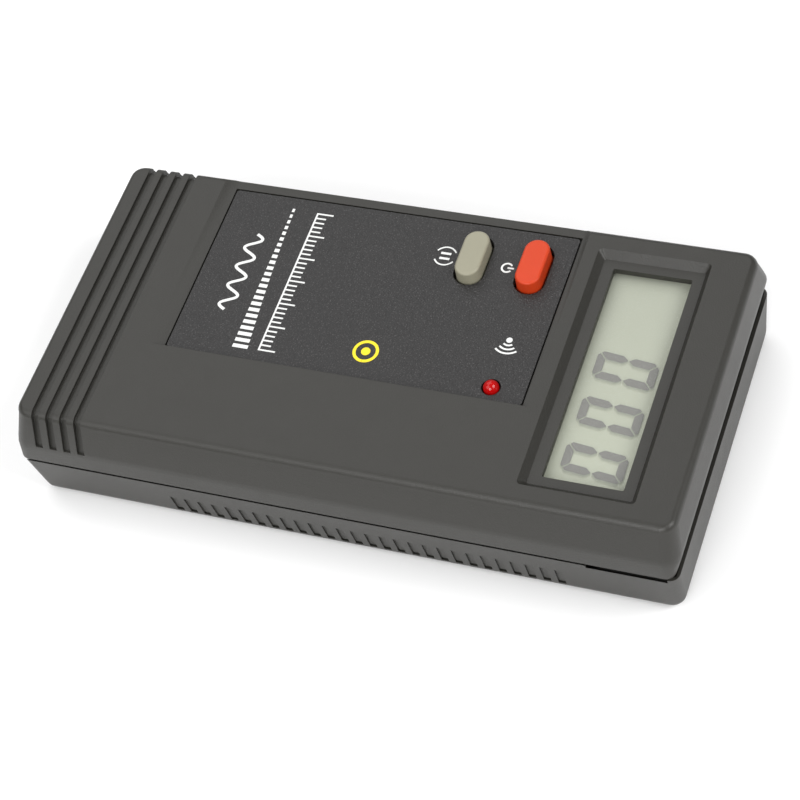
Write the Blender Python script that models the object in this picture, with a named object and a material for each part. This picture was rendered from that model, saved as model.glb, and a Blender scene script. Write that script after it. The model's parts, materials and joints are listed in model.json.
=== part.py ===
"""Hand-held electromagnetic field meter: two-part case, display, push buttons, lamp, circuit and battery.

Sizes below are in millimetres and are turned into metres as each mesh is made. +Z points out of the display
face, +Y runs to the display end, and the origin is in the middle of the flat back.
"""

import math

import bmesh
import bpy
from mathutils import Vector

MM = 0.001
GAP = 0.3                      # clearance left between neighbouring pieces
CORNER_STEPS = 6               # facets in each quarter of a rounded corner
ROUND_STEPS = 20               # facets around a screw, capacitor or post
SHARP_ANGLE = math.radians(38)

# ---- the case, outside ----
TOP_Z = 24.6
TOP_EDGE_DROP = 1.6            # height of the rounding along the top edge
CREASE_Z = 17.1                # widest level of the upper half
SPLIT_TOP_Z = 12.9             # lower rim of the upper half
SPLIT_BOTTOM_Z = 12.35         # upper rim of the lower half, at the ends
SIDE_LIP_Z = 12.1              # the same along the sides, where a dark line shows between the halves
NOTCH_LIP_Z = 11.35            # and in the long notch near the display end
TONGUE_TOP_Z = 14.4
HALF_WIDTH = 33.2
END_Y = 64.3
WALL_INNER_X = 30.1            # inside of the lower half
ROOF_Z = 21.4                  # underside of the face
FLOOR_Z = 2.0

# ---- the face ----
LABEL_X = (-28.6, 9.95)
LABEL_Y = (-40.0, 30.0)
LABEL_Z = (23.1, 23.6)
OPENING_X = 23.4
OPENING_Y = (37.8, 52.7)
BEZEL_FLOOR_Z = 23.1
BUTTON_X = -20.2
BUTTON_Y = {"power": 23.35, "hold": 11.55}
BUTTON_HALF = (5.45, 2.55)
BUTTON_HOLE_HALF = (5.9, 3.0)
BUTTON_TOP_Z = 26.0
LAMP_XY = (7.1, 23.5)
LAMP_HOLE_R = 1.8

# ---- the circuit and the battery ----
BOARD_Z = (13.0, 14.6)
ON_BOARD_Z = BOARD_Z[1] + GAP
CASE_SCREWS = [(x, y) for x in (-26.0, 26.0) for y in (-56.0, 57.6)]
BOARD_SCREWS = [(x, y) for x in (-25.5, 25.5) for y in (-4.0, 31.5)]
BATTERY_Y = (-60.9, -14.5)
TERMINAL_X = 6.35
TERMINAL_Z = 11.4

# colour, roughness and metallic of every finish
FINISHES = {
    "case_plastic": ((0.085, 0.082, 0.076), 0.55, 0.0),
    "cover_plastic": ((0.080, 0.078, 0.072), 0.60, 0.0),
    "label_film": ((0.070, 0.071, 0.076), 0.45, 0.0),
    "clear_acrylic": ((0.86, 0.90, 0.88), 0.05, 0.0),
    "display_glass": ((0.52, 0.56, 0.46), 0.20, 0.0),
    "reflector_film": ((0.60, 0.62, 0.52), 0.35, 0.0),
    "frame_plastic": ((0.030, 0.030, 0.032), 0.50, 0.0),
    "strip_rubber": ((0.55, 0.24, 0.30), 0.80, 0.0),
    "board_laminate": ((0.020, 0.140, 0.050), 0.45, 0.0),
    "red_cap": ((0.800, 0.060, 0.020), 0.35, 0.0),
    "grey_cap": ((0.420, 0.410, 0.310), 0.40, 0.0),
    "switch_plastic": ((0.018, 0.018, 0.018), 0.45, 0.0),
    "white_plastic": ((0.720, 0.710, 0.680), 0.45, 0.0),
    "red_lens": ((0.550, 0.010, 0.010), 0.12, 0.0),
    "tinned_steel": ((0.600, 0.600, 0.590), 0.30, 1.0),
    "screw_steel": ((0.450, 0.450, 0.460), 0.35, 1.0),
    "chip_epoxy": ((0.025, 0.025, 0.027), 0.60, 0.0),
    "sleeve_blue": ((0.020, 0.060, 0.250), 0.35, 0.0),
    "trimmer_blue": ((0.020, 0.130, 0.480), 0.40, 0.0),
    "ferrite": ((0.055, 0.052, 0.055), 0.75, 0.0),
    "enamel_copper": ((0.500, 0.160, 0.050), 0.30, 1.0),
    "battery_jacket": ((0.120, 0.125, 0.130), 0.40, 0.3),
    "snap_vinyl": ((0.030, 0.030, 0.030), 0.65, 0.0),
    "lead_red": ((0.600, 0.020, 0.015), 0.45, 0.0),
    "lead_black": ((0.020, 0.020, 0.020), 0.45, 0.0),
    "foam": ((0.060, 0.060, 0.060), 0.95, 0.0),
}

for old in list(bpy.data.objects):
    bpy.data.objects.remove(old)


def collection(name):
    made = bpy.data.collections.new(name)
    bpy.context.scene.collection.children.link(made)
    return made


PARTS = collection("emf_meter")
CUTTERS = collection("cutters")


def finish_material(name):
    """The shared material of a finish, made the first time that it is asked for."""
    found = bpy.data.materials.get(name)
    if found:
        return found
    colour, roughness, metallic = FINISHES[name]
    made = bpy.data.materials.new(name)
    made.use_nodes = True
    shader = made.node_tree.nodes["Principled BSDF"]
    shader.inputs["Base Color"].default_value = (*colour, 1.0)
    shader.inputs["Roughness"].default_value = roughness
    shader.inputs["Metallic"].default_value = metallic
    return made


def place(name, mesh, finish):
    """Puts a mesh in the scene: a named part when it has a finish, otherwise a cutter."""
    made = bpy.data.objects.new(name, mesh)
    if finish:
        PARTS.objects.link(made)
        mesh.materials.append(finish_material(finish))
    else:
        CUTTERS.objects.link(made)
        made.hide_render = True
        made.display_type = "WIRE"
    return made


def solid_mesh(name, points, faces):
    """A closed mesh facing outward, smooth over gentle bends and sharp at real edges."""
    mesh = bpy.data.meshes.new(name)
    mesh.from_pydata([Vector(p) * MM for p in points], [], faces)
    work = bmesh.new()
    work.from_mesh(mesh)
    bmesh.ops.remove_doubles(work, verts=work.verts, dist=1e-7)
    bmesh.ops.recalc_face_normals(work, faces=work.faces)
    for face in work.faces:
        face.smooth = True
    for edge in work.edges:
        edge.smooth = len(edge.link_faces) == 2 and edge.calc_face_angle() < SHARP_ANGLE
    work.to_mesh(mesh)
    work.free()
    return mesh


def ring(x_range, y_range, radius, z, steps=CORNER_STEPS):
    """A rounded rectangle at one level, counter-clockwise."""
    (x0, x1), (y0, y1) = x_range, y_range
    centres = [(x1 - radius, y1 - radius, 0), (x0 + radius, y1 - radius, 1),
               (x0 + radius, y0 + radius, 2), (x1 - radius, y0 + radius, 3)]
    points = []
    for cx, cy, quarter in centres:
        for i in range(steps + 1):
            turn = math.pi / 2 * (quarter + i / steps)
            points.append((cx + radius * math.cos(turn), cy + radius * math.sin(turn), z))
    return points


def centred_ring(half_x, half_y, centre, radius, z, steps=CORNER_STEPS):
    cx, cy = centre
    return ring((cx - half_x, cx + half_x), (cy - half_y, cy + half_y), radius, z, steps)


def oval(half_long, half_short, centre, z, steps=8):
    """A racetrack outline with its long axis along X."""
    return centred_ring(half_long, half_short, centre, half_short * 0.98, z, steps)


def disc(radius, centre, z, steps=ROUND_STEPS):
    cx, cy = centre
    turns = [2 * math.pi * i / steps for i in range(steps)]
    return [(cx + radius * math.cos(t), cy + radius * math.sin(t), z) for t in turns]


def stack(name, rings, finish=None):
    """A closed solid through outlines that all have the same number of points."""
    count = len(rings[0])
    points = [p for outline in rings for p in outline]
    faces = [list(range(count)), list(range(len(points) - count, len(points)))]
    for level in range(len(rings) - 1):
        base = level * count
        for i in range(count):
            j = (i + 1) % count
            faces.append((base + i, base + j, base + count + j, base + count + i))
    return place(name, solid_mesh(name, points, faces), finish)


def prism_data(outline, low, high, axis):
    """Points and faces of a flat outline carried along one axis, from low to high."""
    order = {"x": lambda a, b, c: (c, a, b), "y": lambda a, b, c: (a, c, b), "z": lambda a, b, c: (a, b, c)}
    points = [order[axis](a, b, level) for level in (low, high) for a, b in outline]
    count = len(outline)
    faces = [list(range(count)), list(range(count, 2 * count))]
    faces += [(i, (i + 1) % count, count + (i + 1) % count, count + i) for i in range(count)]
    return points, faces


def prisms(name, outlines, ranges, axis, finish=None):
    """Several separate prisms in one mesh; most often a set of matching cutters."""
    points, faces = [], []
    for outline, (low, high) in zip(outlines, ranges):
        more, sides = prism_data(outline, low, high, axis)
        faces += [[index + len(points) for index in side] for side in sides]
        points += more
    return place(name, solid_mesh(name, points, faces), finish)


def box(name, x, y, z, finish=None):
    outline = [(x[0], y[0]), (x[1], y[0]), (x[1], y[1]), (x[0], y[1])]
    return prisms(name, [outline], [z], "z", finish)


def post(name, centre, radius, z, finish=None, steps=ROUND_STEPS):
    return stack(name, [disc(radius, centre, z[0], steps), disc(radius, centre, z[1], steps)], finish)


def combine(target, other, operation):
    modifier = target.modifiers.new(other.name, "BOOLEAN")
    modifier.operation = operation
    modifier.solver = "EXACT"
    modifier.object = other


def cut(target, *cutters):
    for cutter in cutters:
        combine(target, cutter, "DIFFERENCE")


def grow(target, *extras):
    for extra in extras:
        combine(target, extra, "UNION")


def wire(name, points, radius, finish):
    """A round wire along a line of points, closed at both ends."""
    data = bpy.data.curves.new(name, "CURVE")
    data.dimensions = "3D"
    data.bevel_depth = radius * MM
    data.bevel_resolution = 2
    data.use_fill_caps = True
    line = data.splines.new("POLY")
    line.points.add(len(points) - 1)
    for spot, point in zip(line.points, points):
        spot.co = (*(Vector(point) * MM), 1.0)
    made = bpy.data.objects.new(name, data)
    PARTS.objects.link(made)
    data.materials.append(finish_material(finish))
    return made


def eased(points, pieces=5):
    """The points of a smooth line through the given ones."""
    spots = [Vector(p) for p in points]
    spots = [spots[0] * 2 - spots[1], *spots, spots[-1] * 2 - spots[-2]]
    line = []
    for a, b, c, d in zip(spots, spots[1:], spots[2:], spots[3:]):
        for i in range(pieces):
            t = i / pieces
            line.append(0.5 * (2 * b + (c - a) * t + (2 * a - 5 * b + 4 * c - d) * t**2
                               + (3 * b - a - 3 * c + d) * t**3))
    line.append(spots[-2])
    return line


# ---- upper half of the case ----

def top_outline(spread, z):
    """The upper half's outline where its top edge rounds over: spread 1 on the flat face, 0 on the wall."""
    return ring((-30.9 + 1.7 * spread, 30.9 - 1.7 * spread), (-63.1 + 1.3 * spread, 63.7 - 1.4 * spread),
                3.0 - 2.0 * spread, z)


def rounded_levels(steps):
    """(share of the inset, share of the drop) down a quarter-round edge."""
    turns = [math.pi / 2 * i / steps for i in range(steps + 1)]
    return [(1 - math.sin(t), 1 - math.cos(t)) for t in turns]


def build_top_case():
    rings = [top_outline(inset, TOP_Z - TOP_EDGE_DROP * drop) for inset, drop in rounded_levels(5)]
    rings += [
        ring((-32.95, 32.95), (-64.15, 64.25), 3.4, CREASE_Z + 0.9),
        ring((-HALF_WIDTH, HALF_WIDTH), (-END_Y, END_Y), 2.9, CREASE_Z - 0.5),
        ring((-HALF_WIDTH, HALF_WIDTH), (-END_Y, 63.3), 1.8, SPLIT_TOP_Z),
    ]
    case = stack("top_case", rings, "case_plastic")
    cavity = stack("cut_top_cavity", [
        ring((-28.6, 28.6), (-60.6, 61.2), 1.0, ROOF_Z),
        ring((-29.5, 29.5), (-61.4, 62.0), 1.8, ROOF_Z - 1.3),
        ring((-31.2, 31.2), (-62.3, 62.3), 2.2, CREASE_Z),
        ring((-31.3, 31.3), (-62.4, 61.5), 2.2, 11.0),
    ])
    cut(case, cavity)
    for number, spot in enumerate(CASE_SCREWS):
        grow(case, post(f"add_top_post_{number}", spot, 2.3, (13.2, ROOF_Z + 0.6)))
        cut(case, post(f"cut_top_pilot_{number}", spot, 1.15, (12.5, 19.0), steps=12))
    cut_label_pocket(case)
    cut_display_opening(case)
    cut_face_holes(case)
    cut_end_grooves(case)
    return case


def cut_label_pocket(case):
    """A shallow pocket that runs out over the left edge, with a deeper seat for the label in it."""
    top, seat = TOP_Z + 1.0, 23.6
    slope = [(-40.35, seat), (30.35, seat), (31.85, TOP_Z), (33.4, top), (-45.4, top), (-42.9, TOP_Z)]
    cut(case, prisms("cut_label_pocket", [slope], [(-36.0, 10.5)], "x"))
    cut(case, box("cut_label_seat", (LABEL_X[0] - GAP, LABEL_X[1] + GAP),
                  (LABEL_Y[0] - GAP, LABEL_Y[1] + GAP), (LABEL_Z[0] - GAP, seat + 0.4)))


def cut_display_opening(case):
    cut(case, stack("cut_bezel_slope", [
        ring((-27.5, 27.5), (33.4, 56.4), 1.1, TOP_Z + 1.0),
        ring((-26.6, 26.6), (34.3, 55.7), 0.8, TOP_Z),
        ring((-25.3, 25.3), (35.6, 54.7), 0.4, BEZEL_FLOOR_Z),
    ]))
    cut(case, stack("cut_display_opening", [
        ring((-OPENING_X, OPENING_X), OPENING_Y, 0.35, ROOF_Z - 1.0),
        ring((-OPENING_X, OPENING_X), OPENING_Y, 0.35, BEZEL_FLOOR_Z + 1.0),
    ]))
    cut(case, box("cut_window_seat", (-25.7, 25.7), (35.6, 54.9), (ROOF_Z - 1.0, 21.8)))


def cut_face_holes(case):
    for name, y in BUTTON_Y.items():
        spot = (BUTTON_X, y)
        hole = [oval(*BUTTON_HOLE_HALF, spot, z) for z in (ROOF_Z - 1.0, TOP_Z)]
        cut(case, stack(f"cut_{name}_hole", hole))
    cut(case, post("cut_lamp_hole", LAMP_XY, LAMP_HOLE_R, (ROOF_Z - 1.0, TOP_Z)))


def cut_end_grooves(case):
    """Four finger grooves over the face and down both long sides, near the battery end."""
    depth, width, pitch, end_z = 0.7, 1.5, 2.9, 17.5
    wall_top = 30.9 - depth
    floor_line = [(HALF_WIDTH - depth, end_z)]
    for inset, drop in reversed(rounded_levels(4)):
        floor_line.append((wall_top - 1.5 * inset, TOP_Z - depth - (TOP_EDGE_DROP - 0.2) * drop))
    outside = [(36.0, TOP_Z + 2.0), (36.0, end_z)]
    outline = floor_line + [(-x, z) for x, z in reversed(floor_line)]
    outline += [(-x, z) for x, z in reversed(outside)] + outside
    starts = [-59.3 + pitch * i for i in range(4)]
    cut(case, prisms("cut_end_grooves", [outline] * 4, [(y, y + width) for y in starts], "y"))


# ---- lower half of the case ----

def bottom_outline(inset, z):
    return ring((-31.75 + inset, 31.75 - inset), (-63.95 + inset, 63.6 - inset), 2.5 - inset * 0.7, z)


def lower_hull(name, finish):
    """The outside of the lower half without its tongue; the battery cover takes its shape from it as well."""
    edge = [bottom_outline(2.3 * inset, 2.3 * drop) for inset, drop in rounded_levels(4)]
    rim = ring((-33.1, 33.1), (-64.25, 63.9), 1.8, SPLIT_BOTTOM_Z)
    if finish != "case_plastic":
        return stack(name, [*edge, rim], finish)
    tongue = [ring((-31.0, 31.0), (-62.1, 61.2), 2.0, z) for z in (SPLIT_BOTTOM_Z, TONGUE_TOP_Z)]
    return stack(name, [*edge, rim, *tongue], finish)


def build_bottom_case():
    case = lower_hull("bottom_case", "case_plastic")
    cut(case, stack("cut_bottom_cavity", [
        ring((-29.6, 29.6), (-61.2, 60.3), 1.2, FLOOR_Z),
        ring((-WALL_INNER_X, WALL_INNER_X), (-61.2, 60.3), 1.4, FLOOR_Z + 2.0),
        ring((-WALL_INNER_X, WALL_INNER_X), (-61.2, 60.3), 1.4, 16.0),
    ]))
    for number, spot in enumerate(CASE_SCREWS):
        grow(case, post(f"add_screw_tube_{number}", spot, 3.5, (FLOOR_Z - 0.5, 12.9)))
    for number, spot in enumerate(BOARD_SCREWS):
        grow(case, post(f"add_board_boss_{number}", spot, 2.6, (FLOOR_Z - 0.5, 12.7)))
        cut(case, post(f"cut_board_pilot_{number}", spot, 1.05, (6.0, 14.0), steps=12))
    for number, x in enumerate((-20.0, 20.0)):
        grow(case, post(f"add_board_rest_{number}", (x, 50.0), 2.0, (FLOOR_Z - 0.5, 12.7), steps=12))
    add_battery_bay(case)
    for number, spot in enumerate(CASE_SCREWS):
        cut(case, post(f"cut_screw_head_{number}", spot, 2.5, (-1.0, 8.5)))
        cut(case, post(f"cut_screw_shaft_{number}", spot, 1.3, (8.0, 14.0), steps=12))
    cut_cover_opening(case)
    cut_side_flutes(case)
    cut_side_grooves(case)
    cut_end_rim(case)
    return case


def add_battery_bay(case):
    walls = [(-15.0, -13.6), (13.6, 15.0)]
    for number, x in enumerate(walls):
        grow(case, box(f"add_bay_wall_{number}", x, (-62.0, -8.0), (2.5, 9.5)))
    grow(case, box("add_bay_end", (-16.0, 16.0), (-9.0, -7.8), (FLOOR_Z - 0.5, 9.7)))


def cut_cover_opening(case):
    """A T-shaped way through the floor and the end wall that the cover slides out of."""
    way = [(-15.7, -2.0), (15.7, -2.0), (15.7, 1.0), (18.3, 1.0),
           (18.3, 2.4), (-18.3, 2.4), (-18.3, 1.0), (-15.7, 1.0)]
    cut(case, prisms("cut_cover_way", [way], [(-70.0, -10.0)], "y"))


def cut_side_flutes(case):
    """A row of shallow flutes down each long side, each with a deeper nick at its foot."""
    count, width, first, last = 28, 1.45, -34.7, 40.7
    right = [(32.12, 7.35), (36.0, 7.35), (36.0, 2.05), (31.2, 2.05), (31.2, 2.5), (31.52, 2.6)]
    left = [(-x, z) for x, z in right]
    starts = [first + (last - first) * i / (count - 1) for i in range(count)]
    for side, outline in (("right", right), ("left", left)):
        cut(case, prisms(f"cut_flutes_{side}", [outline] * count, [(y, y + width) for y in starts], "y"))


def cut_side_grooves(case):
    """A groove between a thin outer lip and the tongue, along both sides; one long notch is lower."""
    stretches = [(SIDE_LIP_Z, (-66.0, 62.0)), (NOTCH_LIP_Z, (47.2, 62.0))]
    for number, (lip_z, length) in enumerate(stretches):
        floor_z, top_z = lip_z - 2.5, TONGUE_TOP_Z + 0.6
        right = [(30.95, top_z), (30.95, floor_z + 0.2), (31.2, floor_z),
                 (32.95, lip_z), (36.0, lip_z), (36.0, top_z)]
        left = [(-x, z) for x, z in right]
        cut(case, prisms(f"cut_side_groove_{number}", [right, left], [length, length], "y"))


def cut_end_rim(case):
    """The display end's rim falls away to the left, with the same groove behind its lip."""
    top_z = TONGUE_TOP_Z + 0.6
    fall = [(34.0, SPLIT_BOTTOM_Z), (34.0, top_z), (-34.5, top_z), (-34.5, SPLIT_BOTTOM_Z - 1.0)]
    cut(case, prisms("cut_end_rim", [fall], [(62.0, 66.0)], "y"))
    groove = [(61.15, top_z), (61.15, 9.8), (63.05, 9.8), (63.3, SPLIT_BOTTOM_Z), (63.3, top_z)]
    cut(case, prisms("cut_end_groove", [groove], [(-32.1, 32.1)], "x"))


def build_cover():
    """The battery cover: the middle of the lower half's own bottom, with a flange that runs in the floor."""
    cover = lower_hull("battery_cover", "cover_plastic")
    keep_low = box("keep_cover_plate", (-15.4, 15.4), (-70.0, -10.3), (-1.0, 1.5))
    keep_wide = box("keep_cover_flange", (-18.0, 18.0), (-70.0, -10.3), (1.3, 2.1))
    grow(keep_low, keep_wide)
    combine(cover, keep_low, "INTERSECT")
    bars = [[(-7.0, y), (7.0, y), (7.0, y + 1.0), (-7.0, y + 1.0)] for y in (-26.0, -24.0, -22.0, -20.0)]
    cut(cover, prisms("cut_cover_grip", bars, [(-1.0, 0.45)] * len(bars), "z"))
    return cover


# ---- display, label, buttons and lamp ----

def build_face_parts():
    label = stack("faceplate_label", [ring(LABEL_X, LABEL_Y, 0.6, z) for z in LABEL_Z], "label_film")
    for name, y in BUTTON_Y.items():
        hole = [oval(*BUTTON_HOLE_HALF, (BUTTON_X, y), z) for z in (22.0, 25.0)]
        cut(label, stack(f"cut_label_{name}", hole))
    cut(label, post("cut_label_lamp", LAMP_XY, LAMP_HOLE_R, (22.0, 25.0)))
    box("display_window", (-25.4, 25.4), (35.9, 54.6), (20.9, 21.5), "clear_acrylic")
    box("lcd_panel", (-24.6, 24.6), (36.6, 53.9), (18.9, 20.6), "display_glass")
    box("lcd_reflector", (-24.0, 24.0), (39.6, 50.9), (18.2, 18.6), "reflector_film")
    frame = box("lcd_frame", (-26.2, 26.2), (35.4, 54.9), (ON_BOARD_Z, 20.6), "frame_plastic")
    cut(frame, box("cut_lcd_frame", (-24.9, 24.9), (36.3, 54.2), (14.0, 22.0)))
    for name, y in (("zebra_strip_lower", 38.0), ("zebra_strip_upper", 52.5)):
        box(name, (-22.0, 22.0), (y - 0.8, y + 0.8), (ON_BOARD_Z, 18.6), "strip_rubber")


def build_button(name, finish):
    """A cap kept in by its flange, the plunger under it, and the switch on the board."""
    spot = (BUTTON_X, BUTTON_Y[name])
    long, short = BUTTON_HALF
    taper, edge = 0.12, 0.5
    crown = [(long - taper - edge * inset, short - taper - edge * inset, BUTTON_TOP_Z - edge * drop)
             for inset, drop in reversed(rounded_levels(4))]
    sizes = [(6.45, 3.6, 20.0), (6.45, 3.6, 20.9), (long, short, 20.9), *crown]
    stack(f"{name}_button", [oval(a, b, spot, z) for a, b, z in sizes], finish)
    post(f"{name}_plunger", spot, 1.5, (16.7, 19.7), "white_plastic")
    body = box(f"{name}_switch", (spot[0] - 4.0, spot[0] + 4.0), (spot[1] - 4.0, spot[1] + 4.0),
               (ON_BOARD_Z, 17.9), "switch_plastic")
    cut(body, post(f"cut_{name}_switch", spot, 1.85, (14.0, 19.0)))


def build_lamp():
    flange = [disc(1.95, LAMP_XY, z) for z in (19.2, 20.1)]
    turns = (0, 0.35, 0.7, 1.05, 1.35, 1.5)
    dome = [disc(1.5 * math.cos(t), LAMP_XY, 23.4 + 1.5 * math.sin(t)) for t in turns]
    stack("alarm_led", [*flange, disc(1.5, LAMP_XY, 20.1), *dome], "red_lens")
    for name, side in (("led_lead_anode", -1), ("led_lead_cathode", 1)):
        post(name, (LAMP_XY[0] + 1.27 * side, LAMP_XY[1]), 0.3, (ON_BOARD_Z, 18.9), "tinned_steel", steps=8)


# ---- circuit board and what stands on it ----

def build_board():
    board = box("main_board", (-28.5, 28.5), (-7.4, 53.8), BOARD_Z, "board_laminate")
    for number, spot in enumerate(BOARD_SCREWS):
        cut(board, post(f"cut_board_hole_{number}", spot, 1.25, (12.0, 16.0), steps=12))
    box("meter_chip", (-5.0, 7.0), (9.0, 21.0), (ON_BOARD_Z, 16.5), "chip_epoxy")
    box("amplifier_chip", (12.5, 17.5), (15.0, 19.0), (ON_BOARD_Z, 16.3), "chip_epoxy")
    for name, x in (("resistor_a", 12.0), ("resistor_b", 16.0)):
        box(name, (x, x + 1.6), (22.4, 25.6), (ON_BOARD_Z, 15.5), "chip_epoxy")
    can = [centred_ring(5.2, 1.9, (-6.0, 25.0), 1.8, z) for z in (ON_BOARD_Z, 18.4)]
    stack("crystal_can", can, "tinned_steel")
    for name, x, radius in (("filter_capacitor", -15.0, 2.5), ("bypass_capacitor", -9.0, 2.0)):
        spot = (x, 0.0)
        rings = [(radius, ON_BOARD_Z), (radius, 19.6), (radius - 0.35, 20.0)]
        stack(name, [disc(r, spot, z) for r, z in rings], "sleeve_blue")
    build_buzzer((12.0, 3.0))
    build_trimmer((23.0, 12.0))
    build_sense_coil(31.0, 17.9)


def build_buzzer(spot):
    shell = stack("buzzer", [disc(r, spot, z, 28) for r, z in ((6.0, ON_BOARD_Z), (6.0, 19.9), (5.6, 20.3))],
                  "frame_plastic")
    cut(shell, post("cut_buzzer_port", spot, 1.0, (18.5, 21.0), steps=12))


def build_trimmer(spot):
    """A preset resistor: a square body with a well, and the slotted rotor that turns in it."""
    x, y = spot
    half = 3.25
    body = box("trimmer_body", (x - half, x + half), (y - half, y + half), (ON_BOARD_Z, 18.3), "trimmer_blue")
    cut(body, post("cut_trimmer_well", spot, 2.35, (17.0, 19.0)))
    rotor = post("trimmer_rotor", spot, 2.0, (17.3, 18.9), "white_plastic")
    cut(rotor, box("cut_rotor_slot", (x - 2.5, x + 2.5), (y - 0.35, y + 0.35), (18.3, 19.5)))


def build_sense_coil(y, z):
    """The pick-up: a ferrite rod lying across the board with one layer of copper wire round it."""
    steps, turns, per_turn = 14, 12, 12
    around = [2 * math.pi * i / steps for i in range(steps)]
    rod = [(y + 1.9 * math.cos(t), z + 1.9 * math.sin(t)) for t in around]
    prisms("sense_core", [rod], [(-12.0, 14.0)], "x", "ferrite")
    helix = []
    for i in range(turns * per_turn + 1):
        turn = 2 * math.pi * i / per_turn
        along = -8.0 + 18.0 * i / (turns * per_turn)
        helix.append((along, y + 2.6 * math.cos(turn), z + 2.6 * math.sin(turn)))
    wire("sense_coil", helix, 0.3, "enamel_copper")


# ---- battery and its connector ----

def build_battery():
    (y0, y1), half = BATTERY_Y, 13.1
    outline = centred_ring(half, 8.6, (0.0, TERMINAL_Z), 1.6, 0.0, 3)
    prisms("battery", [[(x, z) for x, z, _ in outline]], [(y0, y1)], "y", "battery_jacket")
    rounds = {"battery_terminal_plus": (-TERMINAL_X, 2.9, 16),
              "battery_terminal_minus": (TERMINAL_X, 3.7, 6)}
    for name, (x, radius, steps) in rounds.items():
        turns = [2 * math.pi * i / steps for i in range(steps)]
        shape = [(x + radius * math.cos(t), TERMINAL_Z + radius * math.sin(t)) for t in turns]
        prisms(name, [shape], [(y1 + GAP, y1 + 2.5)], "y", "tinned_steel")
    plate = centred_ring(12.6, 6.0, (0.0, TERMINAL_Z), 1.5, 0.0, 3)
    prisms("battery_snap", [[(x, z) for x, z, _ in plate]], [(y1 + 2.8, y1 + 5.2)], "y", "snap_vinyl")
    box("battery_pad", (-10.0, 10.0), (-52.0, -24.0), (20.3, 21.1), "foam")
    for name, x, finish in (("lead_red", -2.5, "lead_red"), ("lead_black", 2.5, "lead_black")):
        line = [(x, -8.9, 15.6), (x, -8.0, 16.7), (x, -6.3, 17.2), (x, -4.9, 16.4), (x, -4.4, 15.1)]
        wire(name, eased(line), 0.6, finish)


# ---- screws ----

def build_screws():
    cross = [(-1.3, -0.3), (-0.3, -0.3), (-0.3, -1.3), (0.3, -1.3), (0.3, -0.3), (1.3, -0.3),
             (1.3, 0.3), (0.3, 0.3), (0.3, 1.3), (-0.3, 1.3), (-0.3, 0.3), (-1.3, 0.3)]
    for number, spot in enumerate(CASE_SCREWS):
        sizes = [(1.7, 6.3), (2.15, 6.8), (2.15, 8.2), (0.85, 8.2), (0.85, 17.0), (0.35, 18.0)]
        screw = stack(f"case_screw_{number + 1}", [disc(r, spot, z, 14) for r, z in sizes], "screw_steel")
        shape = [(spot[0] + x, spot[1] + y) for x, y in cross]
        cut(screw, prisms(f"cut_case_screw_{number}", [shape], [(5.5, 7.4)], "z"))
    for number, spot in enumerate(BOARD_SCREWS):
        sizes = [(0.35, 7.5), (0.75, 8.3), (0.75, ON_BOARD_Z), (2.1, ON_BOARD_Z), (2.1, 15.8), (1.6, 16.3)]
        screw = stack(f"board_screw_{number + 1}", [disc(r, spot, z, 14) for r, z in sizes], "screw_steel")
        shape = [(spot[0] + x, spot[1] + y) for x, y in cross]
        cut(screw, prisms(f"cut_board_screw_{number}", [shape], [(15.4, 17.0)], "z"))


build_top_case()
build_bottom_case()
build_cover()
build_face_parts()
build_button("power", "red_cap")
build_button("hold", "grey_cap")
build_lamp()
build_board()
build_battery()
build_screws()
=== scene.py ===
"""Hand-held field meter: looks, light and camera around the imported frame.

Lengths are in millimetres, and become metres as each mesh or texture is made. Light, floor and camera are in
metres. +Z points out of the display face and +Y towards the display end. The marks and the digits are placed
from the boxes of the frame's nodes.
"""

import json
import math

import bmesh
import bpy
from mathutils import Matrix, Vector

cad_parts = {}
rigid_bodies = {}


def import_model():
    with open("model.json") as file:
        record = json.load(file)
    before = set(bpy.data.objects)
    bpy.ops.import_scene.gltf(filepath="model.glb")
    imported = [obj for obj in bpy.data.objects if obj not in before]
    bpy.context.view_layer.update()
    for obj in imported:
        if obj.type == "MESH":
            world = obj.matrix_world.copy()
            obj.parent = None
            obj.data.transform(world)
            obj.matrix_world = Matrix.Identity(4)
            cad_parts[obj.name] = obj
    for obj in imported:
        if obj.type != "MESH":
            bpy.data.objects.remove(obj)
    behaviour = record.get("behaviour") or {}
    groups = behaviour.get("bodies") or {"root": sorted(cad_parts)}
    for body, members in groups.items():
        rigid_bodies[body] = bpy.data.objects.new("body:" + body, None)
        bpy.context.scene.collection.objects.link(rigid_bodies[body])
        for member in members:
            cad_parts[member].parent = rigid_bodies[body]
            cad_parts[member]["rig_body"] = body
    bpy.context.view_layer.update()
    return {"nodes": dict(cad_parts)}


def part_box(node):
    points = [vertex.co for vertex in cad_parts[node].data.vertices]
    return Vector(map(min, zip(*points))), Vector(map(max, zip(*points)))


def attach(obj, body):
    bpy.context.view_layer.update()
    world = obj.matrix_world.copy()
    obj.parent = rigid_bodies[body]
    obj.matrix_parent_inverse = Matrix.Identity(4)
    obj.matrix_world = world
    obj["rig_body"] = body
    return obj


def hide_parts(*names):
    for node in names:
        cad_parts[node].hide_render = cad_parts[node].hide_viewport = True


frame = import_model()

MM = 0.001
NODES = frame["nodes"]
SKIN = 0.03                    # thickness of printed marks and display segments
INK_LIFT = 0.01                # gap between the faceplate and the marks on it
EDGE_SAMPLES = 6
EDGE_WIDTH = 0.12
EDGE_STARTS, EDGE_FULL = 0.985, 0.80       # how far the rounded normal agrees with the face's own
WELD_M = 2e-6
FLAT_WITHIN_DEG = 0.4          # facets that differ by less are one flat face
SMOOTH_BELOW_DEG = 38


def srgb(red, green, blue):
    """A screen colour, 0 to 255, as the linear values that a shader takes."""
    shares = [value / 255 for value in (red, green, blue)]
    return tuple(s / 12.92 if s <= 0.04045 else ((s + 0.055) / 1.055) ** 2.4 for s in shares)


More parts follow.
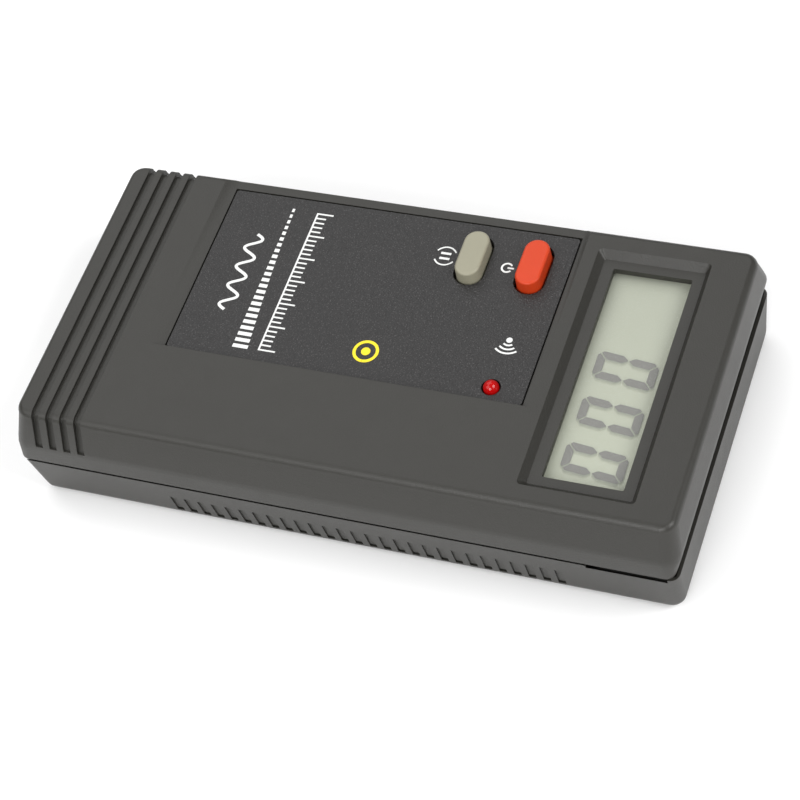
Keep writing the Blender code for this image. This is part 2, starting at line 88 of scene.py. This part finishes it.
def span(node):
    """A frame node's lowest and highest corners, in millimetres."""
    low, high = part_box(node)
    return low / MM, high / MM


def corner_of(node, right, up):
    """A place on a node's face, counted from its lower left corner."""
    low, _ = span(node)
    return (low.x + right, low.y + up)


def middle_of(node, right, up):
    """A place beside a node, counted from its middle."""
    low, high = span(node)
    return ((low.x + high.x) / 2 + right, (low.y + high.y) / 2 + up)


# ---- materials ----

class Nodes:
    """A material's node tree, with short ways to add and join its nodes."""

    def __init__(self, name):
        self.material = bpy.data.materials.new(name)
        self.material.use_nodes = True
        self.tree = self.material.node_tree
        self.shader = self.tree.nodes["Principled BSDF"]
        self.place = self.add("ShaderNodeTexCoord").outputs["Object"]

    def add(self, kind, settings=None, **inputs):
        node = self.tree.nodes.new(kind)
        for key, value in (settings or {}).items():
            setattr(node, key, value)
        for key, value in inputs.items():
            self.feed(node.inputs[key.replace("_", " ")], value)
        return node

    def feed(self, socket, value):
        if isinstance(value, bpy.types.NodeSocket):
            self.tree.links.new(value, socket)
        elif isinstance(value, tuple) and len(value) == 3 and socket.type == "RGBA":
            socket.default_value = (*value, 1.0)
        else:
            socket.default_value = value

    def noise(self, size_mm, detail=2.0, roughness=0.5, offset=0.0):
        """Noise whose features are about size_mm across."""
        spot = self.place
        if offset:
            spot = self.add("ShaderNodeVectorMath", {"operation": "ADD"}, Vector=spot).outputs[0]
            spot.node.inputs[1].default_value = (offset, offset, offset)
        made = self.add("ShaderNodeTexNoise", Vector=spot, Scale=1 / (size_mm * MM), Detail=detail,
                        Roughness=roughness)
        return made.outputs["Fac"]

    def patches(self, size_mm, detail=2.0, roughness=0.5, offset=0.0):
        """Noise stretched to fill 0 to 1."""
        return self.remap(self.noise(size_mm, detail, roughness, offset), 0.3, 0.7, 0.0, 1.0)

    def remap(self, value, from_low, from_high, to_low, to_high):
        node = self.add("ShaderNodeMapRange", None, Value=value, From_Min=from_low, From_Max=from_high,
                        To_Min=to_low, To_Max=to_high)
        return node.outputs["Result"]

    def multiply(self, first, second):
        node = self.add("ShaderNodeMath", {"operation": "MULTIPLY"})
        self.feed(node.inputs[0], first)
        self.feed(node.inputs[1], second)
        return node.outputs[0]

    def mix(self, share, first, second):
        node = self.add("ShaderNodeMix", {"data_type": "RGBA"})
        self.feed(node.inputs["Factor"], share)
        self.feed(node.inputs[6], first)
        self.feed(node.inputs[7], second)
        return node.outputs[2]

    def soft_edges(self, radius_mm):
        return self.add("ShaderNodeBevel", {"samples": EDGE_SAMPLES}, Radius=radius_mm * MM).outputs["Normal"]

    def edge_mask(self, rounded):
        """1 along the edges, where the rounded normal leaves the face's own."""
        flat = self.add("ShaderNodeNewGeometry").outputs["Normal"]
        dot = self.add("ShaderNodeVectorMath", {"operation": "DOT_PRODUCT"})
        self.feed(dot.inputs[0], rounded)
        self.feed(dot.inputs[1], flat)
        return self.remap(dot.outputs["Value"], EDGE_STARTS, EDGE_FULL, 0.0, 1.0)

    def bump(self, height, depth_mm, normal):
        node = self.add("ShaderNodeBump", None, Height=height, Distance=depth_mm * MM, Strength=1.0)
        if normal:
            self.feed(node.inputs["Normal"], normal)
        return node.outputs["Normal"]

    def fixed(self, **values):
        for key, value in values.items():
            self.feed(self.shader.inputs[key.replace("_", " ")], value)
        return self


def varied(colour, share):
    return tuple(channel * share for channel in colour)


def plastic(name, colour, roughness, grain_mm, grain_depth, mottle, edge_mm=EDGE_WIDTH, wear_and_edge_highlight=0.0,
            rough_spread=0.03, **fixed):
    """Moulded plastic: fine grain, faint mottling, softened edges and, in patches, slightly paler edges,
    partly rubbing wear and partly a painted highlight.
    """
    n = Nodes(name)
    shade = n.mix(n.patches(6.0, detail=3.0), varied(colour, 1 - mottle), varied(colour, 1 + mottle))
    rounded = n.soft_edges(edge_mm)
    if wear_and_edge_highlight:
        worn_and_highlit = n.remap(n.noise(2.2, detail=4.0), 0.42, 0.62, 0.0, wear_and_edge_highlight)
        # paler along the edges in noisy patches: part rubbing wear, part painted highlight for light caught
        # by the rounded edges
        shade = n.mix(n.multiply(n.edge_mask(rounded), worn_and_highlit), shade, varied(colour, 1.9))
    dull = n.patches(5.0, detail=3.0, roughness=0.6, offset=0.37)
    grain = n.noise(grain_mm, detail=2.0, roughness=0.6)
    n.feed(n.shader.inputs["Base Color"], shade)
    n.feed(n.shader.inputs["Roughness"], n.remap(dull, 0.0, 1.0, roughness - rough_spread,
                                                 roughness + rough_spread))
    n.feed(n.shader.inputs["Normal"], n.bump(grain, grain_depth, rounded))
    return n.fixed(**fixed).material


def sparkled_film(name, colour, roughness):
    """Printed film with a fine pebbled surface and painted glints: paler specks in its colour, where the film
    is also smoother.
    """
    n = Nodes(name)
    pebble = n.add("ShaderNodeTexVoronoi", {"feature": "SMOOTH_F1"}, Vector=n.place, Scale=1 / (0.36 * MM))
    painted_glint = n.remap(n.noise(0.26, detail=1.0, offset=0.11), 0.60, 0.70, 0.0, 1.0)
    shade = n.mix(n.patches(9.0, detail=3.0), varied(colour, 0.96), varied(colour, 1.04))
    # painted glints: specks mixed towards a far paler colour
    n.feed(n.shader.inputs["Base Color"], n.mix(n.multiply(painted_glint, 0.5), shade, varied(colour, 7.0)))
    n.feed(n.shader.inputs["Roughness"], n.remap(painted_glint, 0.0, 1.0, roughness, roughness - 0.14))
    n.feed(n.shader.inputs["Normal"], n.bump(pebble.outputs["Distance"], 0.11, n.soft_edges(EDGE_WIDTH)))
    return n.material


def metal(name, colour, roughness, scratch_mm):
    """Plated, tinned or enamelled metal with faint scratches and dull patches."""
    n = Nodes(name)
    dull = n.patches(1.6, detail=4.0)
    n.feed(n.shader.inputs["Base Color"], n.mix(dull, varied(colour, 0.82), varied(colour, 1.08)))
    n.feed(n.shader.inputs["Roughness"], n.remap(dull, 0.0, 1.0, roughness + 0.12, roughness - 0.05))
    scratches = n.noise(scratch_mm, detail=5.0, roughness=0.7)
    n.feed(n.shader.inputs["Normal"], n.bump(scratches, 0.01, n.soft_edges(0.1)))
    return n.fixed(Metallic=1.0).material


def display_film(name, colour):
    """The pale green-grey ground of a reflective display, finely textured, with painted shade darkening it
    towards the left, and a faint painted glow.
    """
    n = Nodes(name)
    fine = n.noise(0.16, roughness=0.7)
    across = n.add("ShaderNodeSeparateXYZ", Vector=n.place).outputs["X"]
    left, right = (corner.x * MM for corner in span("lcd_panel"))
    # painted shade: the ground darkens from right to left across the glass
    ground_with_painted_shade = n.mix(n.remap(across, left, right, 0.0, 1.0), varied(colour, 0.90), varied(colour, 1.06))
    speckle = n.remap(fine, 0.3, 0.7, 0.0, 0.06)
    n.feed(n.shader.inputs["Base Color"], n.mix(speckle, ground_with_painted_shade, (1.0, 1.0, 1.0)))
    n.feed(n.shader.inputs["Roughness"], n.remap(fine, 0.0, 1.0, 0.42, 0.55))
    # painted glow: the film gives off a little light in its own colour, lifting the shade under the bezel
    n.feed(n.shader.inputs["Emission Color"], ground_with_painted_shade)
    return n.fixed(Emission_Strength=0.12).material


def ink(name, colour, roughness=0.5):
    """Screen-printed ink, slightly uneven."""
    n = Nodes(name)
    uneven = n.patches(0.5, detail=3.0)
    n.feed(n.shader.inputs["Base Color"], n.mix(uneven, varied(colour, 0.95), varied(colour, 1.05)))
    n.feed(n.shader.inputs["Roughness"], n.remap(uneven, 0.0, 1.0, roughness - 0.06, roughness + 0.06))
    return n.material


def clear_window(name):
    """Clear acrylic that lets the display's light through, with a faint haze."""
    n = Nodes(name)
    haze = n.patches(6.0, detail=3.0)
    n.feed(n.shader.inputs["Roughness"], n.remap(haze, 0.0, 1.0, 0.04, 0.09))
    return n.fixed(Base_Color=(0.92, 0.95, 0.93), Alpha=0.06, IOR=1.49).material


def lens(name, colour):
    """Tinted lamp epoxy: deep colour, polished, with a faint painted glow in place of light scattered inside.
    """
    n = Nodes(name)
    swirl = n.patches(1.2)
    n.feed(n.shader.inputs["Base Color"], n.mix(swirl, varied(colour, 0.9), varied(colour, 1.1)))
    n.feed(n.shader.inputs["Roughness"], n.remap(swirl, 0.0, 1.0, 0.05, 0.08))
    # painted glow: the unlit lens gives off a little light in its own colour
    return n.fixed(Emission_Color=colour, Emission_Strength=0.08, Specular_IOR_Level=0.4).material


def foam(name, colour):
    """Open foam: painted shade darkens the middle of each cell, between paler walls."""
    n = Nodes(name)
    cells = n.add("ShaderNodeTexVoronoi", None, Vector=n.place, Scale=1 / (0.5 * MM)).outputs["Distance"]
    # painted shade: darker towards each cell's middle, where the pores are deep
    n.feed(n.shader.inputs["Base Color"], n.mix(cells, varied(colour, 0.6), varied(colour, 1.3)))
    n.feed(n.shader.inputs["Roughness"], n.remap(cells, 0.0, 1.0, 0.9, 1.0))
    n.feed(n.shader.inputs["Normal"], n.bump(cells, 0.2, None))
    return n.material


BATTERY_BAND = 13.0            # width of the copper-coloured band


def banded_jacket(name):
    """A battery's lacquered jacket: a dark body and a copper-coloured band at the terminal end."""
    n = Nodes(name)
    along = n.add("ShaderNodeSeparateXYZ", Vector=n.place).outputs["Y"]
    band_start = (span("battery")[1].y - BATTERY_BAND) * MM
    band = n.remap(along, band_start, band_start + 0.2 * MM, 0.0, 1.0)
    scuffs = n.remap(n.noise(4.0, detail=5.0, roughness=0.7), 0.35, 0.65, 0.0, 1.0)
    dark = n.mix(scuffs, (0.020, 0.022, 0.026), (0.032, 0.034, 0.040))
    copper = n.mix(scuffs, (0.42, 0.17, 0.07), (0.52, 0.23, 0.10))
    n.feed(n.shader.inputs["Base Color"], n.mix(band, dark, copper))
    n.feed(n.shader.inputs["Roughness"], n.remap(scuffs, 0.0, 1.0, 0.26, 0.38))
    n.feed(n.shader.inputs["Normal"], n.bump(n.noise(7.0, 2.0), 0.03, n.soft_edges(0.2)))
    return n.fixed(Metallic=0.6).material


CASE = srgb(42, 41, 37)
MATERIALS = {
    "case": plastic("case", CASE, roughness=0.42, grain_mm=0.32, grain_depth=0.05, mottle=0.02, wear_and_edge_highlight=0.35,
                    rough_spread=0.015),
    "cover": plastic("cover", varied(CASE, 0.95), roughness=0.46, grain_mm=0.32, grain_depth=0.05,
                     mottle=0.02, wear_and_edge_highlight=0.35, rough_spread=0.015),
    "red_cap": plastic("red_cap", srgb(196, 60, 22), roughness=0.45, grain_mm=0.6, grain_depth=0.006,
                       mottle=0.03, edge_mm=0.2, Specular_IOR_Level=0.35, Subsurface_Weight=0.1,
                       Subsurface_Radius=(0.0016, 0.0004, 0.0002)),
    "grey_cap": plastic("grey_cap", srgb(145, 142, 123), roughness=0.45, grain_mm=0.6, grain_depth=0.006,
                        mottle=0.03, edge_mm=0.2),
    "label": sparkled_film("label", srgb(31, 30, 30), 0.46),
    "window": clear_window("window"),
    "display": display_film("display", srgb(144, 148, 128)),
    "reflector": display_film("reflector", srgb(205, 208, 190)),
    "segments": ink("segments", srgb(90, 88, 82)),
    "shadow_far": ink("shadow_far", srgb(148, 152, 132), 0.55),
    "shadow_mid": ink("shadow_mid", srgb(140, 144, 125), 0.55),
    "shadow_near": ink("shadow_near", srgb(126, 130, 113), 0.55),
    "white_ink": ink("white_ink", srgb(225, 226, 224)),
    "yellow_ink": ink("yellow_ink", srgb(238, 214, 30)),
    "lens": lens("lens", srgb(168, 8, 8)),
    "tinned": metal("tinned", (0.62, 0.62, 0.60), 0.30, 0.5),
    "screw": metal("screw", (0.50, 0.50, 0.51), 0.34, 0.3),
    "copper": metal("copper", (0.62, 0.24, 0.10), 0.28, 0.3),
    "foam": foam("foam", srgb(60, 60, 60)),
    "jacket": banded_jacket("jacket"),
}

# the inner plastics: colour, roughness, size and depth of the grain, mottling
INNER_PLASTICS = {
    "dark_plastic": ((28, 28, 29), 0.50, 0.40, 0.010, 0.08),
    "white_plastic": ((222, 220, 214), 0.45, 0.40, 0.008, 0.04),
    "trimmer_blue": ((30, 92, 170), 0.40, 0.40, 0.008, 0.06),
    "sleeve_blue": ((24, 46, 120), 0.32, 0.90, 0.020, 0.08),
    "strip_rubber": ((192, 128, 140), 0.80, 0.30, 0.010, 0.08),
    "board": ((22, 92, 48), 0.38, 1.20, 0.020, 0.12),
    "epoxy": ((36, 36, 37), 0.60, 0.25, 0.012, 0.06),
    "ferrite": ((58, 56, 58), 0.72, 0.25, 0.030, 0.12),
    "vinyl": ((30, 30, 30), 0.60, 0.50, 0.020, 0.08),
    "red_wire": ((190, 26, 22), 0.42, 0.50, 0.010, 0.06),
    "black_wire": ((26, 26, 26), 0.42, 0.50, 0.010, 0.06),
}
for finish, (colour, *settings) in INNER_PLASTICS.items():
    MATERIALS[finish] = plastic(finish, srgb(*colour), *settings)

NODE_MATERIALS = {
    "case": ["top_case", "bottom_case"],
    "cover": ["battery_cover"],
    "label": ["faceplate_label"],
    "window": ["display_window"],
    "display": ["lcd_panel"],
    "reflector": ["lcd_reflector"],
    "dark_plastic": ["lcd_frame", "buzzer", "power_switch", "hold_switch"],
    "strip_rubber": ["zebra_strip_lower", "zebra_strip_upper"],
    "white_plastic": ["power_plunger", "hold_plunger", "trimmer_rotor"],
    "tinned": ["led_lead_anode", "led_lead_cathode", "crystal_can", "battery_terminal_plus",
               "battery_terminal_minus"],
    "board": ["main_board"],
    "epoxy": ["meter_chip", "amplifier_chip", "resistor_a", "resistor_b"],
    "sleeve_blue": ["filter_capacitor", "bypass_capacitor"],
    "trimmer_blue": ["trimmer_body"],
    "ferrite": ["sense_core"],
    "copper": ["sense_coil"],
    "jacket": ["battery"],
    "vinyl": ["battery_snap"],
    "foam": ["battery_pad"],
    "red_wire": ["lead_red"],
    "black_wire": ["lead_black"],
    "screw": [f"{kind}_screw_{number}" for kind in ("case", "board") for number in (1, 2, 3, 4)],
    "red_cap": ["power_button"],
    "grey_cap": ["hold_button"],
    "lens": ["alarm_led"],
}

# nodes with these finishes have only flat faces in view, so they are shown as they are
FLAT_FINISHES = ("window", "display", "reflector", "strip_rubber", "epoxy", "foam")


def dress_nodes():
    """Gives every frame node its finish, and the ones with rounded edges a smooth copy in their place."""
    for finish, nodes in NODE_MATERIALS.items():
        for node in nodes:
            mesh = NODES[node].data
            mesh.materials.clear()
            mesh.materials.append(MATERIALS[finish])
            if finish not in FLAT_FINISHES:
                refined(node, f"{node}_skin", finish)


# ---- meshes ----

def piece(name, points, faces, material, body):
    """A closed mesh piece, given in millimetres, that rides on a body."""
    mesh = bpy.data.meshes.new(name)
    mesh.from_pydata([Vector(p) * MM for p in points], [], faces)
    work = bmesh.new()
    work.from_mesh(mesh)
    bmesh.ops.recalc_face_normals(work, faces=work.faces)
    work.to_mesh(mesh)
    work.free()
    mesh.materials.append(MATERIALS[material])
    made = bpy.data.objects.new(name, mesh)
    bpy.context.scene.collection.objects.link(made)
    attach(made, body)


def refined(node, name, material):
    """A welded copy of a frame node, with its flat facets joined and its rounded edges shaded smooth."""
    work = bmesh.new()
    work.from_mesh(NODES[node].data)
    bmesh.ops.remove_doubles(work, verts=work.verts, dist=WELD_M)
    bmesh.ops.dissolve_limit(work, angle_limit=math.radians(FLAT_WITHIN_DEG), verts=work.verts,
                             edges=work.edges)
    work.verts.index_update()
    mesh = bpy.data.meshes.new(name)
    mesh.from_pydata([v.co for v in work.verts], [], [[v.index for v in f.verts] for f in work.faces])
    work.free()
    mesh.shade_smooth()
    mesh.set_sharp_from_angle(angle=math.radians(SMOOTH_BELOW_DEG))
    mesh.materials.append(MATERIALS[material])
    made = bpy.data.objects.new(name, mesh)
    bpy.context.scene.collection.objects.link(made)
    weights = made.modifiers.new("weighted_normals", "WEIGHTED_NORMAL")
    weights.keep_sharp = True
    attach(made, NODES[node]["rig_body"])
    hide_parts(node)


def slabs(name, outlines, low, high, material):
    """Flat outlines in the XY plane, each made a thin slab, all in one piece on the case."""
    points, faces = [], []
    for outline in outlines:
        base, count = len(points), len(outline)
        points += [(x, y, z) for z in (low, high) for x, y in outline]
        faces += [list(range(base, base + count)), list(range(base + count, base + 2 * count))]
        for i in range(count):
            j = (i + 1) % count
            faces.append((base + i, base + j, base + count + j, base + count + i))
    piece(name, points, faces, material, "case")


def bar(x, y, wide, tall):
    """An upright rectangle, from its lower left corner."""
    return [(x, y), (x + wide, y), (x + wide, y + tall), (x, y + tall)]


NEARLY_ROUND = 359.0           # degrees: a full band stays one outline, with a hairline gap


def arc(centre, radius, start_deg, end_deg, width, steps=24):
    """A curved band as one outline."""
    turns = [math.radians(start_deg + (end_deg - start_deg) * i / steps) for i in range(steps + 1)]
    x, y = centre
    rims = [(radius + width / 2, turns), (radius - width / 2, turns[::-1])]
    return [(x + rim * math.cos(t), y + rim * math.sin(t)) for rim, order in rims for t in order]


# ---- generic marks on the faceplate ----

def build_label_marks():
    """Pictograms in place of lettering: a scale, level bars, a wave, and a sign for each control."""
    label = "faceplate_label"
    marks = scale_row(*corner_of(label, 2.8, 18.2))
    marks += level_row(*corner_of(label, 2.6, 12.7))
    marks += wave_row(*corner_of(label, 9.9, 8.0))
    marks += power_sign(*middle_of("power_button", 0.6, -5.05))
    marks += hold_sign(*middle_of("hold_button", 0.0, -5.65))
    marks += sound_sign(*middle_of("alarm_led", -10.7, 0.2))
    low = span(label)[1].z + INK_LIFT
    slabs("label_marks", marks, low, low + SKIN, "white_ink")
    slabs("label_colour_mark", ring_and_dot(*corner_of(label, 32.5, 38.2)), low, low + SKIN, "yellow_ink")


def ring_and_dot(x, y):
    return [arc((x, y), 2.2, 0.0, NEARLY_ROUND, 0.6, 48), arc((x, y), 0.45, 0.0, NEARLY_ROUND, 0.88, 24)]


def scale_row(left, bottom, count=31, pitch=1.1, width=0.34):
    """A ruled scale: every fifth tick is tall."""
    ticks = [bar(left + pitch * i, bottom, width, 3.1 if i % 5 == 0 else 1.9) for i in range(count)]
    return ticks + [bar(left, bottom - width, pitch * (count - 1) + width, width)]


def level_row(left, bottom, count=24, pitch=1.43, width=0.8):
    """Bars that grow from left to right."""
    heights = [0.5 + 2.6 * (i / (count - 1)) ** 1.4 for i in range(count)]
    return [bar(left + pitch * i, bottom, width, height) for i, height in enumerate(heights)]


def wave_row(left, middle, length=18.4, height=1.45, cycles=4, width=0.6):
    """A sine wave as one ribbon."""
    steps = 24 * cycles
    turns = [2 * math.pi * cycles * i / steps for i in range(steps + 1)]
    line = [Vector((left + length * i / steps, middle + height * math.sin(t))) for i, t in enumerate(turns)]
    sides = []
    for i, spot in enumerate(line):
        along = (line[min(i + 1, steps)] - line[max(i - 1, 0)]).normalized()
        sides.append((spot, Vector((-along.y, along.x)) * width / 2))
    ribbon = [spot + side for spot, side in sides] + [spot - side for spot, side in reversed(sides)]
    return [[tuple(spot) for spot in ribbon]]


def power_sign(x, y, radius=1.0, width=0.36):
    """An open ring with a bar in its gap."""
    return [arc((x, y), radius, -235.0, 55.0, width), bar(x - width / 2, y + 0.1, width, 1.25)]


def hold_sign(x, y, width=0.5):
    """Two bars between brackets."""
    bars = [bar(x - 0.85, y - 1.0, width, 2.0), bar(x + 0.35, y - 1.0, width, 2.0)]
    return bars + [arc((x, y), 2.1, -60.0, 60.0, 0.3), arc((x, y), 2.1, 120.0, 240.0, 0.3)]


def sound_sign(x, y, width=0.36):
    """A source with waves spreading towards the lamp."""
    source = arc((x, y), 0.3, 0.0, NEARLY_ROUND, 0.58, 16)
    return [source] + [arc((x, y), radius, -42.0, 42.0, width) for radius in (1.2, 2.1, 3.0)]


# ---- display digits ----

DIGIT = {"width": 5.95, "height": 11.7, "stroke": 1.55, "gap": 0.22, "corner": 1.0, "lean": 0.105, "tip": 1.0}
DIGIT_COUNT = 3
DIGIT_PITCH = 10.15
FIRST_DIGIT = (18.05, 3.0)     # from the glass's lower left corner

# each layer's slip to the right and its height over the glass
DIGIT_LAYERS = {"shadow_far": (0.60, 0.02), "shadow_mid": (0.42, 0.07), "shadow_near": (0.24, 0.12),
                "segments": (0.0, 0.18)}


def zero_segments():
    """The six lit segments of a zero, upright, with their lower left corner at the origin."""
    w, h, t = DIGIT["width"], DIGIT["height"], DIGIT["stroke"]
    g, c = DIGIT["gap"], DIGIT["corner"]
    near, far = c / 2 - g / 2, c / 2 + g / 2           # either side of the gap across a cut corner
    tip = h / 2 + g / 2
    shoulder = tip + DIGIT["tip"]
    top = [(c, h), (w - c, h), (w - far, h - near), (w - t - g, h - t), (t + g, h - t), (far, h - near)]
    upper_left = [(0, h - c), (near, h - far), (t, h - t - g), (t, shoulder), (t / 2, tip), (0, shoulder)]
    segments = [top, upper_left, flipped(upper_left, w, None)]
    return segments + [flipped(s, None, h) for s in segments]


def flipped(outline, width, height):
    """Mirrored left to right in a box this wide, or top to bottom in one this high."""
    return [(width - u if width else u, height - v if height else v) for u, v in outline]


def build_digits():
    """Three zeros, with painted soft shadows on the reflector behind the glass: slipped copies of the
    segments in three shades.
    """
    surface = span("lcd_panel")[1].z
    left, bottom = corner_of("lcd_panel", *FIRST_DIGIT)
    lines = []
    for number in range(DIGIT_COUNT):
        start = left + DIGIT_PITCH * number
        for segment in zero_segments():
            lines.append([(start + u + DIGIT["lean"] * v, bottom + v) for u, v in segment])
    for name, (slip, height) in DIGIT_LAYERS.items():
        low = surface + height
        slipped = [[(x + slip, y) for x, y in line] for line in lines]
        slabs(f"display_{name}", slipped, low, low + SKIN, name)


# ---- light, floor and camera ----

FLOOR_HALF = 3.0
FLOOR_DROP = 0.0002            # keeps the floor clear of the case's flat back
SKY_STRENGTH = 0.22

# each lamp's place, the side of its square and its power in watts
LAMPS = {
    "key": ((-0.42, -0.34, 0.74), 1.0, 4.4),
    "fill": ((0.55, -0.55, 0.80), 0.8, 4.0),
    "side": ((0.75, 0.10, 0.55), 0.5, 5.0),
    "display_end": ((0.0, 0.65, 0.60), 0.5, 5.0),
}

CAMERA_SPOT = Vector((0.23474, 0.14936, 0.36914))
CAMERA_TARGET = Vector((0.006267, 0.003701, 0.013))
CAMERA_ROLL_DEG = -17.185
LENS_MM = 108.59


def build_floor():
    """A plain pale table top."""
    half = FLOOR_HALF
    corners = [(-half, -half, 0), (half, -half, 0), (half, half, 0), (-half, half, 0)]
    mesh = bpy.data.meshes.new("floor")
    mesh.from_pydata(corners, [], [(0, 1, 2, 3)])
    n = Nodes("floor")
    n.feed(n.shader.inputs["Base Color"], n.mix(n.patches(80.0), (0.93, 0.93, 0.93), (0.95, 0.95, 0.95)))
    n.fixed(Roughness=0.9, Specular_IOR_Level=0.1)
    mesh.materials.append(n.material)
    floor = bpy.data.objects.new("floor", mesh)
    floor.location.z = -FLOOR_DROP
    bpy.context.scene.collection.objects.link(floor)


def area_light(name, spot, size, watts):
    """A square soft light that faces the meter."""
    data = bpy.data.lights.new(name, "AREA")
    data.shape = "SQUARE"
    data.size = size
    data.energy = watts
    lamp = bpy.data.objects.new(name, data)
    lamp.location = spot
    lamp.rotation_mode = "QUATERNION"
    lamp.rotation_quaternion = (-Vector(spot)).to_track_quat("-Z", "Y")
    bpy.context.scene.collection.objects.link(lamp)


def build_light():
    """Four soft lamps and a dim white sky."""
    for name, (spot, size, watts) in LAMPS.items():
        area_light(name, spot, size, watts)
    world = bpy.context.scene.world or bpy.data.worlds.new("world")
    bpy.context.scene.world = world
    world.use_nodes = True
    sky = world.node_tree.nodes["Background"]
    sky.inputs["Color"].default_value = (1.0, 1.0, 1.0, 1.0)
    sky.inputs["Strength"].default_value = SKY_STRENGTH
    bpy.context.scene.view_settings.view_transform = "Standard"


def build_camera():
    """Looks down on the display face from beyond its upper right corner, rolled to the left."""
    gaze = (CAMERA_TARGET - CAMERA_SPOT).to_track_quat("-Z", "Y").to_matrix()
    roll = Matrix.Rotation(math.radians(CAMERA_ROLL_DEG), 3, "Z")
    data = bpy.data.cameras.new("camera")
    data.lens = LENS_MM
    data.sensor_width = 36.0
    data.clip_start = 0.01
    data.clip_end = 20.0
    camera = bpy.data.objects.new("camera", data)
    camera.matrix_world = Matrix.Translation(CAMERA_SPOT) @ (gaze @ roll).to_4x4()
    bpy.context.scene.collection.objects.link(camera)
    bpy.context.scene.camera = camera


def clear_start_scene():
    """Removes the cube, light and camera that a new Blender scene comes with."""
    for name in ("Cube", "Light", "Camera"):
        if name in bpy.data.objects:
            bpy.data.objects.remove(bpy.data.objects[name])


clear_start_scene()
dress_nodes()
build_label_marks()
build_digits()
build_floor()
build_light()
build_camera()
